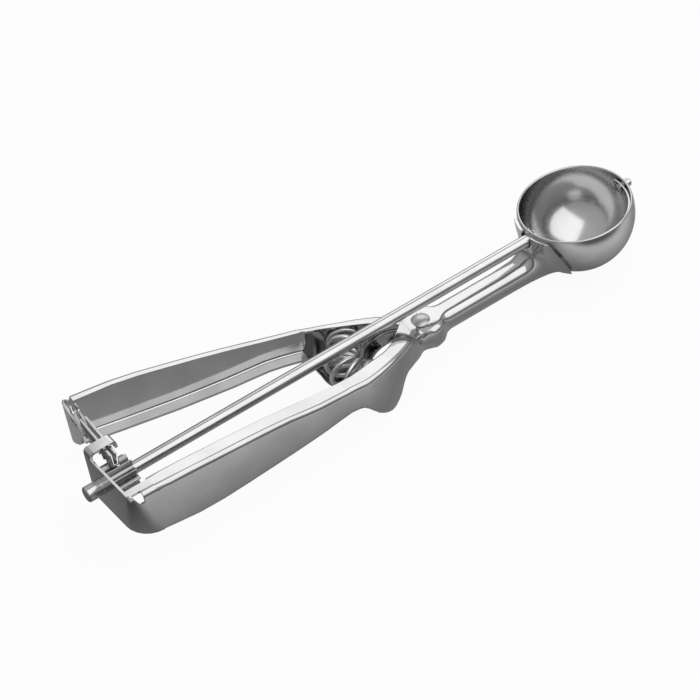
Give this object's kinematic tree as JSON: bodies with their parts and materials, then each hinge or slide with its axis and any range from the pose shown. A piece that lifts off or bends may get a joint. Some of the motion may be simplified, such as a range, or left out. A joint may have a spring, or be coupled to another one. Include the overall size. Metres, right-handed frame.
{
  "type": "ice cream scoop",
  "caption": "Squeeze-handle ice cream scoop of pressed steel: a sprung lever handle turns a sweeping blade in a round bowl through a rack, a pinion and a long rod.",
  "frame": {"origin": "centre of the bowl's sphere, on the long rod's axis", "axes": "+X along the rod from the handles to the bowl's tip, +Y towards the swinging handle, +Z out of the bowl's mouth"},
  "size_m": [0.2245, 0.0597, 0.0364],
  "materials": {
    "pressed_steel": "polished stainless sheet",
    "bowl_steel": "mirror-polished stainless steel",
    "rod_steel": "bright drawn stainless steel",
    "rivet_steel": "satin steel",
    "spring_steel": "bright spring wire",
    "gear_steel": "machined steel"
  },
  "bodies": {
    "frame": {"fixed_handle": "pressed_steel", "bowl": "bowl_steel", "pivot_rivet": "rivet_steel", "pivot_washer": "rivet_steel", "handle_spring": "spring_steel", "spring_stud_fixed": "rivet_steel"},
    "lever": {"moving_handle": "pressed_steel", "rack": "pressed_steel", "rack_rivets": "rivet_steel", "spring_stud_lever": "rivet_steel"},
    "rod": {"ejector_rod": "rod_steel", "pinion": "gear_steel", "sweeper_blade": "bowl_steel", "front_pivot_pin": "rod_steel", "blade_hub_cap": "rivet_steel"}
  },
  "joints": [
    {"name": "handle_squeeze", "type": "hinge", "parent": "frame", "child": "lever", "pos_m": [-0.0673, 0, -0.0115], "axis": [0, 0, 1], "range_deg": [0, 7.39], "stiffness_Nm_per_rad": 2, "springref_deg": -4.58, "deforming": ["handle_spring"]},
    {"name": "rod_spin", "type": "hinge", "parent": "frame", "child": "rod", "pos_m": [-0.1, 0, 0], "axis": [1, 0, 0], "range_deg": [0, 180]}
  ],
  "couplings": [
    {"joint": "rod_spin", "follows": "handle_squeeze", "ratio": 24.32}
  ]
}
